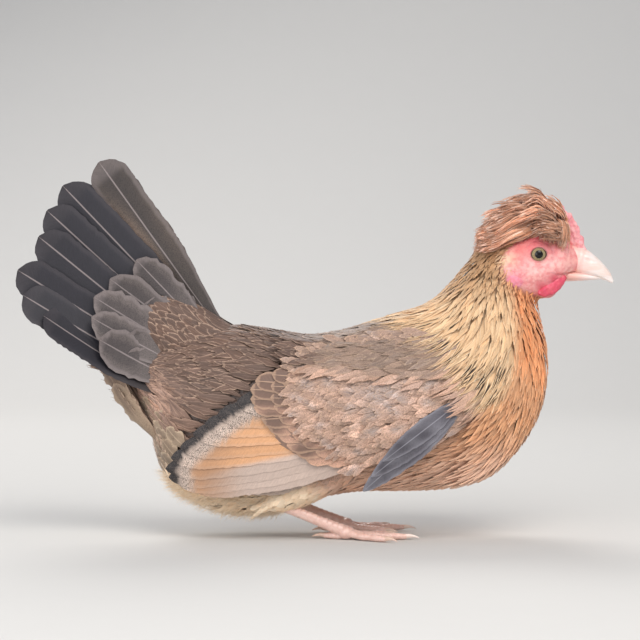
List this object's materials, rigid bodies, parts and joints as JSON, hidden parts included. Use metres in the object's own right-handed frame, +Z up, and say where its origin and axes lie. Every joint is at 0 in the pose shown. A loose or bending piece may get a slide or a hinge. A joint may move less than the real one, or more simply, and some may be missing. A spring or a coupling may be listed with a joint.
{
  "type": "serama chicken",
  "caption": "Still, life-size model of a crested brown serama hen, crouched on flat feet with her tail raised, for a museum display.",
  "frame": {"origin": "on the floor between the feet, in the middle of the model's length and width", "axes": "+X towards the bill, +Y towards the bird's left, +Z up"},
  "size_m": [0.2758, 0.0782, 0.175],
  "materials": {
    "breast_plumage": "matte, salmon orange feathers",
    "hackle_plumage": "silky, golden tan feathers",
    "wing_plumage": "matte, brown and grey feathers",
    "tail_plumage": "satin, charcoal feathers",
    "crest_plumage": "silky, rusty brown feathers",
    "face_skin": "finely bumpy pink skin",
    "wattle_skin": "finely bumpy red skin",
    "earlobe_skin": "smooth pale lilac skin",
    "eye": "wet, polished",
    "horn": "smooth pale horn",
    "leg_scales": "scaly, pinkish white"
  },
  "bodies": {
    "root": {"torso": "breast_plumage", "neck": "hackle_plumage", "head": "face_skin", "crest": "crest_plumage", "comb": "wattle_skin", "wattle_right": "wattle_skin", "wattle_left": "wattle_skin", "earlobe_right": "earlobe_skin", "earlobe_left": "earlobe_skin", "eye_right": "eye", "eye_left": "eye", "bill_upper": "horn", "bill_lower": "horn", "wing_right": "wing_plumage", "wing_left": "wing_plumage", "tail": "tail_plumage", "thigh_right": "breast_plumage", "thigh_left": "breast_plumage", "shank_right": "leg_scales", "shank_left": "leg_scales", "foot_right": "leg_scales", "foot_left": "leg_scales"}
  },
  "joints": []
}
